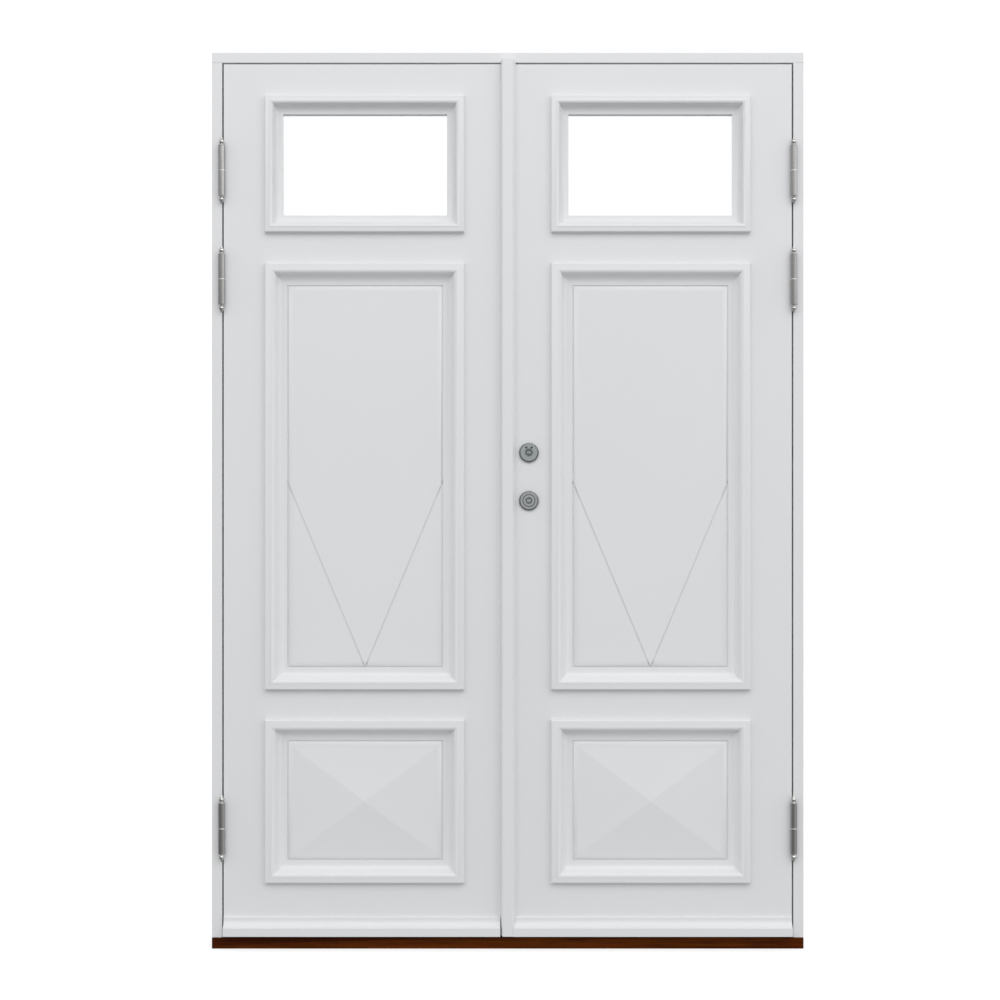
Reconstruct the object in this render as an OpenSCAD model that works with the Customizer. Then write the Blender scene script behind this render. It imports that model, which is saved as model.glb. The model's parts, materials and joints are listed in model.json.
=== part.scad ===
// Double entrance door in its frame, on a hardwood threshold.
// Millimetres. X runs across the door, Y from outside to inside, Z up.
// The origin is the middle of the underside of the threshold.

/* [Frame] */
// overall width of the frame
frame_w = 1380; // [1200:10:1780]
// overall height of the frame
frame_h = 2090; // [1990:10:2390]
// depth of the frame through the wall
frame_depth = 105; // [100:1:140]
// face of jambs and head beside the leaves
face_w = 24; // [22:1:40]
// step of the stop behind the leaves
stop_w = 18; // [16:1:26]
// height of the threshold in front of its stop
threshold_h = 26; // [24:1:45]
// diameter of the fixing holes in the jambs
fixing_d = 14; // [8:1:18]
// distance of the outer fixing holes from foot and head
fixing_end = 220; // [150:10:300]
// distance between the two holes of a fixing pair
fixing_pitch = 600; // [400:10:700]

/* [Leaves] */
// thickness of a leaf
leaf_t = 62; // [58:1:70]
// gap between the leaves and jambs or head
leaf_gap = 3.5; // [3:0.5:6]
// gap between the leaves and the threshold
bottom_gap = 7; // [3:0.5:10]
// how far the leaves stand in front of the frame
leaf_proud = 1; // [0.5:0.5:4]
// place of the right leaf's meeting edge
meet_x = -16.5; // [-24:0.5:-10]
// gap between the two leaves
meet_gap = 4; // [3.5:0.5:6]
// gap between leaf and stop that the seal fills
seal_gap = 4; // [3:0.5:8]

/* [Fields] */
// distance from the middle of the door to the mouldings
centre_margin = 101; // [94:1:130]
// distance from the hinge edge of a leaf to the mouldings
hinge_margin = 97.5; // [80:0.5:130]
// distance from the top of a leaf to the window moulding
top_margin = 74.5; // [60:0.5:120]
// height of the window moulding
window_h = 318; // [250:1:450]
// plain face between window and middle panel
upper_face = 72; // [60:1:120]
// plain face between middle and bottom panel
lower_face = 70; // [60:1:120]
// height of the bottom moulding
low_h = 380; // [300:1:480]
// distance from the bottom of a leaf to the bottom moulding
bottom_margin = 122; // [100:1:180]
// lap of the mouldings on stiles and rails
lap = 18; // [14:1:22]

/* [Mouldings and panels] */
// width of the panel mouldings
mould_w = 50; // [48:1:60]
// width of the window moulding
window_mould_w = 41; // [38:1:47]
// height of the mouldings above the leaf
mould_h = 15; // [10:0.5:20]
// depth of the panel margins behind the leaf face
panel_recess = 10; // [8:0.5:13]
// thickness of the panels at their margins
panel_t = 38; // [30:1:42]
// width of the rounded edge of a panel's field
field_bevel = 15; // [8:0.5:18]
// height of the field above the panel's margin
field_rise = 6; // [2:0.5:7]
// height of the point of the bottom panels
point_rise = 14; // [6:0.5:18]
// width of the V-shaped groove line
groove_w = 3.5; // [2:0.5:5]
// depth of the V-shaped groove line
groove_d = 2.2; // [1:0.1:2.5]
// height of the groove's arms above its point
groove_h = 435; // [300:5:500]
// thickness of a glass pane
pane_t = 4; // [3:0.5:6]
// distance between the two panes
pane_space = 16; // [10:1:20]
// width of the inner beads
bead_w = 17; // [14:1:24]

/* [Weather bars and cover strip] */
// height of the weather bars
bar_h = 44; // [40:1:60]
// height of the bars' upright front
bar_face = 20; // [16:1:26]
// projection of the bars
bar_t = 23; // [18:0.5:30]
// distance of the bars from the hinge edge
bar_inset = 1; // [1:0.5:8]
// width of the cover strip at its back
strip_w = 35.5; // [30:0.5:40]
// slope of the cover strip's left side
strip_left = 4; // [3:0.5:8]
// slope of the cover strip's right side
strip_side = 8; // [4:0.5:10]
// thickness of the cover strip
strip_t = 23; // [16:0.5:26]
// how far the cover strip runs above the leaf
strip_over = 9; // [6:0.5:24]

/* [Hinges] */
// diameter of the hinge barrels
barrel_d = 16; // [14:0.5:18]
// length of the hinge barrels
barrel_len = 115; // [100:1:130]
// diameter of the hinge pins
pin_d = 10; // [8:0.5:11]
// thickness of the hinge plates
plate_t = 4; // [3.5:0.5:5]
// width of the hinge plates
plate_w = 34; // [28:1:40]
// height of the top hinges
hinge_top = 1813; // [1750:1:1880]
// height of the second hinges
hinge_second = 1560; // [1400:1:1620]
// height of the low hinges
hinge_low = 282; // [230:1:400]

/* [Lock and bolts] */
// diameter of the lock discs
disc_d = 45.5; // [40:0.5:48]
// thickness of the lock discs
disc_t = 7; // [5:0.5:10]
// place of the lock discs beside the middle of the door
lock_x = 49.4; // [46:0.2:56]
// height of the lower lock disc
lock_low = 1045; // [950:1:1100]
// distance between the two lock discs
lock_pitch = 112; // [100:1:130]
// diameter of the lock cores
core_d = 18; // [16:0.5:20]
// travel of the latch bolt
latch_throw = 14; // [12:0.5:16]
// travel of the dead bolt
dead_throw = 20; // [16:0.5:24]
// travel of the flush bolts
flush_throw = 16; // [12:0.5:18]

/* [Hidden] */
$fn = 48;
hw = frame_w / 2;
y0 = -frame_depth / 2;
y1 = frame_depth / 2;
yf = y0 - leaf_proud;
yb = yf + leaf_t;
ym = yf + leaf_t / 2;
ys = yb + seal_gap;
xj = hw - face_w;
xs = xj - stop_w;
xe = xj - leaf_gap;
lx = meet_x - meet_gap;
zh = frame_h - face_w;
zb = threshold_h + bottom_gap;
zt = zh - leaf_gap;
sill_z = threshold_h + stop_w;
fixing_top = frame_h - fixing_end;
fixing_z = [fixing_end, fixing_end + fixing_pitch, fixing_top - fixing_pitch, fixing_top];
// fields and openings
fx0 = centre_margin;
fx1 = xe - hinge_margin;
fw = fx1 - fx0;
fc = (fx0 + fx1) / 2;
ox0 = fx0 + lap;
ox1 = fx1 - lap;
ow = ox1 - ox0;
wz1 = zt - top_margin;
wz0 = wz1 - window_h;
mz1 = wz0 - upper_face;
lz0 = zb + bottom_margin;
lz1 = lz0 + low_h;
mz0 = lz1 + lower_face;
mid_h = mz1 - mz0;
wzc = (wz0 + wz1) / 2;
mzc = (mz0 + mz1) / 2;
lzc = (lz0 + lz1) / 2;
glass_back = panel_recess + 2 * pane_t + pane_space;
pane_edge = 3;
spacer_w = 8;
bead_bevel = 5;
mould_lip = 2.5;
field_room = 2;
strip_edge = 2;
bar_room = 0.8;
panel_back = panel_recess + panel_t;
// hinges
kr = barrel_d / 2;
pr = pin_d / 2;
ax = xe + 3;
ay = yf - kr - 0.5;
ring_t = 2;
plate_l = barrel_len - 5;
hinge_z = [hinge_low, hinge_second, hinge_top];
screw_z = [-plate_l * 0.36, 0, plate_l * 0.36];
screw_in = plate_w * 0.6;
screw_r = 2.3;
head_r = 4;
head_t = 2;
screw_len = 19;
// edges, seals and clearances
run = 0.05;
fit = 0.3;
seam = 0.1;
edge_bevel = pow(leaf_t + kr + 1, 2) / (2 * (ax - meet_x)) + 0.9;
edge_relief = 3;
relief_d = 14;
relief_y = ym + relief_d;
seal_w = 8;
tongue_w = 3;
tongue_d = 6;
lip_y = 2.7;
lip_t = 2;
lip_in = 5;
lip_w = 5;
seal_x = (xs + xe) / 2;
seal_z0 = (zb + sill_z) / 2;
seal_z1 = (zt + zh - stop_w) / 2;
// lock
sheet_t = 3;
face_half = 12;
face_over = 8;
case_half = 9;
case_over = 55;
case_behind = 22;
case_wall = 1.5;
body_r = 13;
body_room = 3;
bolt_half = 6;
latch_half = 10;
dead_half = 14;
strike_room = 1;
disc_face = 2.5;
disc_step = 1.2;
disc_rim = 2.6;
mark_r = 13;
mark_w = 1.6;
mark_d = 0.9;
flange_t = 5;
plug_room = 2.6;
plug_edge = 1.6;
plug_d = 1.8;
keyway_w = 1.8;
keyway_h = 9;
turn_t = 8;
turn_h = 36;
turn_out = 28;
knob_t = 6;
lock_z = [lock_low, lock_low + lock_pitch];
plate_x = meet_x + edge_bevel * (ym + face_half - yf) / leaf_t + seam;
case_z0 = lock_low - case_over;
case_z1 = lock_low + lock_pitch + case_over;
case_x = lock_x + case_behind;
core_r = core_d / 2;
bolt_x = lock_x - body_r - body_room;
// flush bolts
rod_r = 5;
rod_in = 14;
rod_len = 150;
rod_room = 0.8;
rod_end = 0.5;
thumb_z = 105;
thumb_h = 10;
thumb_t = 6;
flush_z = 60;
flush_h = 80;
flush_half = 9;
keeper_half = 14;
rod_x = lx - rod_in;
// colours
white = [0.9, 0.9, 0.9];
brown = [0.3, 0.13, 0.07];
steel = [0.6, 0.58, 0.55];
silver = [0.75, 0.75, 0.74];
clear = [0.8, 0.9, 0.9, 0.4];
rubber = [0.75, 0.75, 0.74];

// a box between two corners
module box(a, b) {
    translate(a) cube(b - a);
}

// the left half is the right half in a mirror
module side(s) {
    if (s < 0) {
        mirror([1, 0, 0]) children();
    } else {
        children();
    }
}

// four mitred lengths round a field, each with the given section and a fine seam at its ends
module mitred(w, h, m) {
    for (k = [0, 1, 2, 3]) {
        len = k % 2 == 0 ? w : h;
        off = k % 2 == 0 ? h : w;
        rotate([0, 90 * k, 0])
            translate([0, 0, -off / 2])
                intersection() {
                    translate([-len / 2, 0, 0]) rotate([90, 0, 90]) linear_extrude(len) children();
                    translate([0, 40, 0]) rotate([90, 0, 0]) linear_extrude(80)
                        polygon([[seam - len / 2, 0], [len / 2 - seam, 0],
                            [len / 2 - m - seam, m], [m + seam - len / 2, m]]);
                }
    }
}

// section of the planted mouldings, its back on the leaf and on the panel
function mould_points(w) = let (k = w / 50, q = mould_h / 15, low = panel_recess - mould_lip) concat(
    [[0, 0], [-10 * q, 0]],
    [for (t = [15:15:90]) [-(10 + 4.2 * sin(t)) * q, (3.5 - 3.5 * cos(t)) * k]],
    [[-15 * q, 11 * k]],
    [for (t = [0:15:90]) [-(8 + 6.6 * cos(t)) * q, (15 + 9 * sin(t)) * k]],
    [[-7.5 * q, 26 * k]],
    [for (t = [0:11.25:90]) [low - (low + 7 * q) * (1 - sin(t)), (46 - 19.5 * cos(t)) * k]],
    [[low, w], [panel_recess, w], [panel_recess, lap + fit], [0, lap + fit]]
);

module planted(h, w) {
    mitred(fw, h, w) polygon(mould_points(w));
}

// section of a panel across its field
function panel_points(half, point) = let (
    m = half - (mould_w - lap - 1) - field_room,
    f = m - field_bevel
) concat(
    [[-half, panel_t], [half, panel_t], [half, 0], [m, 0]],
    [for (t = [18:18:90]) [f + field_bevel * cos(t), -field_rise * sin(t)]],
    point > 0 ? [[0, -field_rise - point]] : [],
    [for (t = [90:-18:18]) [-f - field_bevel * cos(t), -field_rise * sin(t)]],
    [[-m, 0], [-half, 0]]
);

module panel(h, point) {
    pw = ow / 2 - 1;
    ph = h / 2 - lap - 1;
    intersection() {
        translate([0, 0, -ph]) linear_extrude(2 * ph) polygon(panel_points(pw, point));
        translate([-pw, 0, 0]) rotate([90, 0, 90]) linear_extrude(2 * pw)
            polygon([for (p = panel_points(ph, point)) [p[1], p[0]]]);
    }
}

module inner_bead(h, back) {
    d = leaf_t - back;
    mitred(ow, h - 2 * lap, bead_w)
        polygon([[0, 0], [d, 0], [d, bead_w - bead_bevel], [d - bead_bevel, bead_w], [0, bead_w]]);
}

// a countersunk plate screw along X, its head at the origin
module screw() {
    rotate([0, 90, 0]) cylinder(r = head_r, h = head_t);
    rotate([0, 90, 0]) cylinder(r = screw_r, h = screw_len);
}

// room for a plate screw in plate and wood
module screw_room() {
    translate([-1, 0, 0]) rotate([0, 90, 0]) cylinder(r = head_r + fit, h = head_t + 1);
    rotate([0, 90, 0]) cylinder(r = screw_r + fit, h = screw_len + 1);
}

// children at each screw of the jamb plates
module at_jamb_screws() {
    for (c = hinge_z, z = screw_z) {
        translate([xj, y0 + screw_in, c + z]) children();
    }
}

// children at each screw of the leaf plates
module at_leaf_screws() {
    for (c = hinge_z, z = screw_z) {
        translate([xe, yf + screw_in, c + z]) mirror([1, 0, 0]) children();
    }
}

module threshold() {
    color(brown) difference() {
        union() {
            box([-hw, y0, 0], [hw, y1, threshold_h]);
            box([-xs, ys, threshold_h], [xs, y1, sill_z]);
        }
        box([-hw, ys - 1, seal_z0 - tongue_w / 2], [hw, ys + tongue_d, seal_z0 + tongue_w / 2]);
        box([rod_x - keeper_half, ym - face_half, threshold_h - sheet_t],
            [rod_x + keeper_half, ym + face_half, threshold_h + 1]);
        translate([rod_x, ym, zb - flush_throw - 1]) cylinder(r = rod_r + rod_room, h = flush_throw + 20);
    }
}

module jamb() {
    difference() {
        union() {
            box([xj, y0, threshold_h], [hw, y1, zh]);
            box([xs, ys, threshold_h], [xj, y1, zh]);
        }
        for (c = hinge_z) {
            box([xj - 1, y0 - 1, c - plate_l / 2], [xj + plate_t, y0 + plate_w, c + plate_l / 2]);
        }
        at_jamb_screws() screw_room();
        box([seal_x - tongue_w / 2, ys - 1, seal_z0 - seal_w / 2],
            [seal_x + tongue_w / 2, ys + tongue_d, seal_z1 + seal_w / 2]);
        for (z = fixing_z) {
            translate([xs - 1, (ys + y1) / 2, z]) rotate([0, 90, 0]) cylinder(d = fixing_d, h = hw - xs + 2);
        }
    }
}

module left_jamb() {
    color(white) side(-1) jamb();
}

module right_jamb() {
    color(white) jamb();
}

module head() {
    color(white) difference() {
        union() {
            box([-hw, y0, zh], [hw, y1, frame_h]);
            box([-xs, ys, zh - stop_w], [xs, y1, zh]);
        }
        box([-hw, ys - 1, seal_z1 - tongue_w / 2], [hw, ys + tongue_d, seal_z1 + tongue_w / 2]);
        box([rod_x - keeper_half, ym - face_half, zh - 1],
            [rod_x + keeper_half, ym + face_half, zh + sheet_t]);
        translate([rod_x, ym, zh - 1]) cylinder(r = rod_r + rod_room, h = flush_throw - leaf_gap + 4);
    }
}

// four seal lengths on the stops, each with a tongue in its groove
module frame_seals() {
    tail = seal_x - seal_w / 2 - fit;
    color(rubber) {
        for (s = [-1, 1]) {
            side(s) {
                box([seal_x - seal_w / 2, yb + fit, seal_z0 - seal_w / 2],
                    [seal_x + seal_w / 2, ys, seal_z1 + seal_w / 2]);
                box([seal_x - tongue_w / 2, ys - 1, seal_z0 - seal_w / 2],
                    [seal_x + tongue_w / 2, ys + tongue_d, seal_z1 + seal_w / 2]);
            }
        }
        for (z = [seal_z0, seal_z1]) {
            box([-tail, yb + fit, z - seal_w / 2], [tail, ys, z + seal_w / 2]);
            box([fit - xs, ys - 1, z - tongue_w / 2], [xs - fit, ys + tongue_d, z + tongue_w / 2]);
        }
    }
}

// lower half of each hinge, let into the jamb
module frame_hinges() {
    difference() {
        for (c = hinge_z) {
            box([xj, ay, c - plate_l / 2], [xj + plate_t, y0 + plate_w, c - ring_t / 2]);
            box([xj, y0, c - plate_l / 2], [xj + plate_t, y0 + plate_w, c + plate_l / 2]);
            translate([ax, ay, c - barrel_len / 2]) cylinder(r = kr, h = (barrel_len - ring_t) / 2);
        }
        for (c = hinge_z) {
            translate([ax, ay, c - barrel_len]) cylinder(r = pr + run, h = 2 * barrel_len);
        }
        at_jamb_screws() screw_room();
    }
}

module left_frame_hinges() {
    color(steel) side(-1) frame_hinges();
}

module right_frame_hinges() {
    color(steel) frame_hinges();
}

// a turned tip, standing on the end of a barrel
module tip() {
    scale(kr / 8) {
        cylinder(r = 8.4, h = 2);
        cylinder(r = 4.4, h = 6);
        translate([0, 0, 9.6]) sphere(r = 6.2);
        translate([0, 0, 14]) cylinder(r1 = 3.6, r2 = 1.2, h = 7);
    }
}

// pins with their lower tips
module hinge_pins() {
    color(steel) for (s = [-1, 1], c = hinge_z) {
        side(s) translate([ax, ay, c - barrel_len / 2]) {
            cylinder(r = pr, h = barrel_len - 16);
            mirror([0, 0, 1]) tip();
        }
    }
}

module hinge_rings() {
    color(silver) for (s = [-1, 1], c = hinge_z) {
        side(s) translate([ax, ay, c - ring_t / 2]) difference() {
            cylinder(r = kr + 0.4, h = ring_t);
            translate([0, 0, -1]) cylinder(r = pr + run, h = ring_t + 2);
        }
    }
}

module frame_hinge_screws() {
    color(silver) for (s = [-1, 1]) {
        side(s) at_jamb_screws() screw();
    }
}

// plates in head and threshold that take the flush bolts
module bolt_keepers() {
    color(silver) difference() {
        for (z = [threshold_h - sheet_t, zh]) {
            box([rod_x - keeper_half, ym - face_half, z], [rod_x + keeper_half, ym + face_half, z + sheet_t]);
        }
        for (z = [threshold_h - sheet_t, zh]) {
            translate([rod_x, ym, z - 1]) cylinder(r = rod_r + rod_room, h = sheet_t + 2);
        }
    }
}

module hinge_stile() {
    difference() {
        box([ox1, yf, zb], [xe, yb, zt]);
        for (c = hinge_z) {
            box([xe - plate_t, yf - 1, c - plate_l / 2], [xe + 1, yf + plate_w, c + plate_l / 2]);
        }
        at_leaf_screws() screw_room();
    }
}

module left_hinge_stile() {
    color(white) side(-1) hinge_stile();
}

module right_hinge_stile() {
    color(white) hinge_stile();
}

module left_meeting_stile() {
    color(white) difference() {
        translate([0, 0, zb]) linear_extrude(zt - zb)
            polygon([[-ox0, yf], [lx, yf], [lx, relief_y], [lx - edge_relief, yb], [-ox0, yb]]);
        box([lx - sheet_t, ym - face_half, case_z0 - face_over],
            [lx + 1, ym + face_half, case_z1 + face_over]);
        bolt_pocket(lock_z[0], dead_half, dead_throw);
        bolt_pocket(lock_z[1], latch_half, latch_throw);
        translate([rod_x, ym, zt - rod_len - rod_end]) cylinder(r = rod_r + fit, h = rod_len + 10);
        translate([rod_x, ym, zb + rod_end - 10]) cylinder(r = rod_r + fit, h = rod_len + 10);
        bolt_slots();
        for (z = [zt - flush_z - flush_h, zb + flush_z]) {
            box([lx - sheet_t, ym - flush_half, z], [lx + 1, ym + flush_half, z + flush_h]);
        }
        box([lx - lip_in, yf + lip_y - lip_t / 2, zb - 1], [lx + 1, yf + lip_y + lip_t / 2, zt + 1]);
    }
}

// room behind the strike plate for a thrown bolt
module bolt_pocket(z, half, throw) {
    box([lx - 2 * sheet_t - throw, ym - bolt_half - 2, z - half - 2],
        [lx + 1, ym + bolt_half + 2, z + half + 2]);
}

// slots for the thumb pieces of the flush bolts
module bolt_slots() {
    half = thumb_t / 2 + fit;
    box([rod_x, ym - half, zt - thumb_z - thumb_h - fit],
        [lx + 1, ym + half, zt - thumb_z + flush_throw + fit]);
    box([rod_x, ym - half, zb + thumb_z - flush_throw - fit],
        [lx + 1, ym + half, zb + thumb_z + thumb_h + fit]);
}

module right_meeting_stile() {
    color(white) difference() {
        translate([0, 0, zb]) linear_extrude(zt - zb)
            polygon([[meet_x, yf], [ox0, yf], [ox0, yb], [meet_x + edge_bevel, yb]]);
        box([meet_x - 1, ym - face_half, case_z0 - face_over],
            [plate_x + sheet_t, ym + face_half, case_z1 + face_over]);
        box([meet_x - 1, ym - case_half - fit, case_z0 - fit],
            [case_x + fit, ym + case_half + fit, case_z1 + fit]);
        for (z = lock_z) {
            translate([lock_x, yf - 1, z]) rotate([-90, 0, 0]) cylinder(r = body_r + fit, h = leaf_t + 2);
        }
    }
}

module rail(z0, z1) {
    box([ox0, yf, z0], [ox1, yb, z1]);
}

module left_top_rail() {
    color(white) side(-1) rail(wz1 - lap, zt);
}

module right_top_rail() {
    color(white) rail(wz1 - lap, zt);
}

module left_window_rail() {
    color(white) side(-1) rail(mz1 - lap, wz0 + lap);
}

module right_window_rail() {
    color(white) rail(mz1 - lap, wz0 + lap);
}

module left_lower_rail() {
    color(white) side(-1) rail(lz1 - lap, mz0 + lap);
}

module right_lower_rail() {
    color(white) rail(lz1 - lap, mz0 + lap);
}

module left_bottom_rail() {
    color(white) side(-1) rail(zb, lz0 + lap);
}

module right_bottom_rail() {
    color(white) rail(zb, lz0 + lap);
}

// flat field with two groove lines that meet at its foot
module middle_panel() {
    reach = fw / 2 - mould_w;
    foot = mould_w - mid_h / 2;
    arm = sqrt(reach * reach + groove_h * groove_h);
    edge = field_room + field_bevel + 1;
    lower = edge * arm / groove_h;
    upper = edge * arm / reach;
    deep = groove_d + field_rise;
    translate([fc, yf + panel_recess, mzc]) difference() {
        panel(mid_h, 0);
        for (s = [-1, 1]) {
            side(s) translate([0, -field_rise, foot]) rotate([0, -atan2(groove_h, reach), 0])
                translate([0, 0, -groove_w / 2]) linear_extrude(groove_w)
                    polygon([[0, -1], [arm, -1], [arm, deep], [arm - upper, groove_d],
                        [lower, groove_d], [0, deep]]);
        }
    }
}

module left_middle_panel() {
    color(white) side(-1) middle_panel();
}

module right_middle_panel() {
    color(white) middle_panel();
}

module bottom_panel() {
    translate([fc, yf + panel_recess, lzc]) panel(low_h, point_rise);
}

module left_bottom_panel() {
    color(white) side(-1) bottom_panel();
}

module right_bottom_panel() {
    color(white) bottom_panel();
}

module left_window_moulding() {
    color(white) side(-1) translate([fc, yf, wzc]) planted(window_h, window_mould_w);
}

module right_window_moulding() {
    color(white) translate([fc, yf, wzc]) planted(window_h, window_mould_w);
}

module left_middle_moulding() {
    color(white) side(-1) translate([fc, yf, mzc]) planted(mid_h, mould_w);
}

module right_middle_moulding() {
    color(white) translate([fc, yf, mzc]) planted(mid_h, mould_w);
}

module left_bottom_moulding() {
    color(white) side(-1) translate([fc, yf, lzc]) planted(low_h, mould_w);
}

module right_bottom_moulding() {
    color(white) translate([fc, yf, lzc]) planted(low_h, mould_w);
}

module inner_beads() {
    translate([fc, yf + glass_back, wzc]) inner_bead(window_h, glass_back);
    translate([fc, yf + panel_back, mzc]) inner_bead(mid_h, panel_back);
    translate([fc, yf + panel_back, lzc]) inner_bead(low_h, panel_back);
}

module left_inner_beads() {
    color(white) side(-1) inner_beads();
}

module right_inner_beads() {
    color(white) inner_beads();
}

// two panes, clear of the wood at their edges
module panes() {
    for (y = [panel_recess, panel_recess + pane_t + pane_space]) {
        box([ox0 + pane_edge, yf + y, wz0 + lap + pane_edge],
            [ox1 - pane_edge, yf + y + pane_t, wz1 - lap - pane_edge]);
    }
}

module left_panes() {
    color(clear) side(-1) panes();
}

module right_panes() {
    color(clear) panes();
}

// hollow bar between the edges of the panes
module spacer() {
    y = yf + panel_recess + pane_t;
    e = pane_edge;
    i = pane_edge + spacer_w;
    difference() {
        box([ox0 + e, y, wz0 + lap + e], [ox1 - e, y + pane_space, wz1 - lap - e]);
        box([ox0 + i, y - 1, wz0 + lap + i], [ox1 - i, y + pane_space + 1, wz1 - lap - i]);
    }
}

module left_spacer() {
    color(silver) side(-1) spacer();
}

module right_spacer() {
    color(silver) spacer();
}

// a weather bar within an outline seen from above
module weather_bar(outline) {
    k = bar_t / 23;
    top = bar_h - 7 * k;
    g0 = 5 * k - bar_t;
    g1 = 9 * k - bar_t;
    translate([0, yf, zb]) intersection() {
        translate([-hw, 0, 0]) rotate([90, 0, 90]) linear_extrude(2 * hw) polygon(concat(
            [[0, 0], [g1, 0], [g1, 4 * k], [g0, 4 * k], [g0, 0], [-bar_t, 0]],
            [for (t = [90:-11.25:0]) [-bar_t + (bar_t - 8 * k) * cos(t), top - (top - bar_face) * sin(t)]],
            [[-8 * k, bar_h - 2 * k], [-6 * k, bar_h], [0, bar_h]]
        ));
        translate([0, 0, -1]) linear_extrude(bar_h + 2) polygon(outline);
    }
}

module left_weather_bar() {
    x0 = bar_inset - xe;
    x1 = meet_x - bar_room;
    color(white) weather_bar([[x0, 1], [x0, -60], [x1, -60], [x1, 1]]);
}

module right_weather_bar() {
    x0 = meet_x + strip_w;
    x1 = xe - bar_inset;
    color(white) weather_bar([[x0, 1], [x0, -strip_edge], [x0 - strip_side, -strip_t], [x0 - strip_side, -60],
        [x1, -60], [x1, 1]]);
}

// upper half of each hinge, let into the leaf
module leaf_hinges() {
    difference() {
        for (c = hinge_z) {
            box([xe - plate_t, ay, c + ring_t / 2], [xe, yf + plate_w, c + plate_l / 2]);
            box([xe - plate_t, yf, c - plate_l / 2], [xe, yf + plate_w, c + plate_l / 2]);
            translate([ax, ay, c + ring_t / 2]) cylinder(r = kr, h = (barrel_len - ring_t) / 2);
        }
        for (c = hinge_z) {
            translate([ax, ay, c - barrel_len]) cylinder(r = pr + run, h = 2 * barrel_len);
        }
        at_leaf_screws() screw_room();
    }
}

module left_leaf_hinges() {
    color(steel) side(-1) leaf_hinges();
}

module right_leaf_hinges() {
    color(steel) leaf_hinges();
}

// upper tips, each with a peg in the top of its barrel
module hinge_tips() {
    for (c = hinge_z) {
        translate([ax, ay, c + barrel_len / 2]) {
            tip();
            translate([0, 0, -12]) cylinder(r = pr - fit, h = 13);
        }
    }
}

module left_hinge_tips() {
    color(steel) side(-1) hinge_tips();
}

module right_hinge_tips() {
    color(steel) hinge_tips();
}

module left_hinge_screws() {
    color(silver) side(-1) at_leaf_screws() screw();
}

module right_hinge_screws() {
    color(silver) at_leaf_screws() screw();
}

// soft lip in the gap between the leaves
module meeting_seal() {
    color(rubber) {
        box([lx, yf + lip_y - lip_w / 2, zb], [lx + meet_gap - 0.5, yf + lip_y + lip_w / 2, zt]);
        box([lx - lip_in, yf + lip_y - lip_t / 2, zb], [lx + 1, yf + lip_y + lip_t / 2, zt]);
    }
}

// hole in the strike plate for a bolt
module strike_hole(z, half) {
    y = bolt_half + strike_room;
    box([lx - 3 * sheet_t, ym - y, z - half], [lx + 1, ym + y, z + half]);
}

module strike_plate() {
    color(silver) difference() {
        box([lx - sheet_t, ym - face_half, case_z0 - face_over], [lx, ym + face_half, case_z1 + face_over]);
        strike_hole(lock_z[0], dead_half + strike_room);
        strike_hole(lock_z[1], latch_half + strike_room);
    }
}

module bolt_plates() {
    color(silver) difference() {
        union() {
            for (z = [zt - flush_z - flush_h, zb + flush_z]) {
                box([lx - sheet_t, ym - flush_half, z], [lx, ym + flush_half, z + flush_h]);
            }
        }
        bolt_slots();
    }
}

module top_bolt() {
    color(silver) {
        translate([rod_x, ym, zt - rod_len]) cylinder(r = rod_r, h = rod_len - rod_end);
        box([rod_x, ym - thumb_t / 2, zt - thumb_z - thumb_h],
            [lx - rod_end, ym + thumb_t / 2, zt - thumb_z]);
    }
}

module bottom_bolt() {
    color(silver) {
        translate([rod_x, ym, zb + rod_end]) cylinder(r = rod_r, h = rod_len - rod_end);
        box([rod_x, ym - thumb_t / 2, zb + thumb_z],
            [lx - rod_end, ym + thumb_t / 2, zb + thumb_z + thumb_h]);
    }
}

// cover strip with sloping sides on the right leaf
module cover_strip() {
    x1 = meet_x + strip_w;
    color(white) translate([0, yf, zb]) linear_extrude(zt + strip_over - zb)
        polygon([[meet_x, 0], [meet_x, -strip_edge], [meet_x + strip_left, -strip_t],
            [x1 - strip_side, -strip_t], [x1, -strip_edge], [x1, 0]]);
}

// sheet box with its face plate on the meeting edge
module lock_case() {
    inner = case_half - case_wall;
    color(silver) difference() {
        union() {
            box([plate_x, ym - face_half, case_z0 - face_over],
                [plate_x + sheet_t, ym + face_half, case_z1 + face_over]);
            box([plate_x + sheet_t, ym - case_half, case_z0], [case_x, ym + case_half, case_z1]);
        }
        box([plate_x + sheet_t, ym - inner, case_z0 + case_wall],
            [case_x - case_wall, ym + inner, case_z1 - case_wall]);
        for (b = [[lock_z[0], dead_half], [lock_z[1], latch_half]]) {
            box([plate_x - 1, ym - bolt_half - fit, b[0] - b[1] - fit],
                [plate_x + sheet_t + 1, ym + bolt_half + fit, b[0] + b[1] + fit]);
        }
        for (z = lock_z) {
            translate([lock_x, ym - 2 * case_half, z]) rotate([-90, 0, 0])
                cylinder(r = body_r + fit, h = 4 * case_half);
        }
    }
}

module latch_bolt() {
    color(steel) box([plate_x, ym - bolt_half, lock_z[1] - latch_half],
        [bolt_x, ym + bolt_half, lock_z[1] + latch_half]);
}

module dead_bolt() {
    color(steel) box([plate_x, ym - bolt_half, lock_z[0] - dead_half],
        [bolt_x, ym + bolt_half, lock_z[0] + dead_half]);
}

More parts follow.
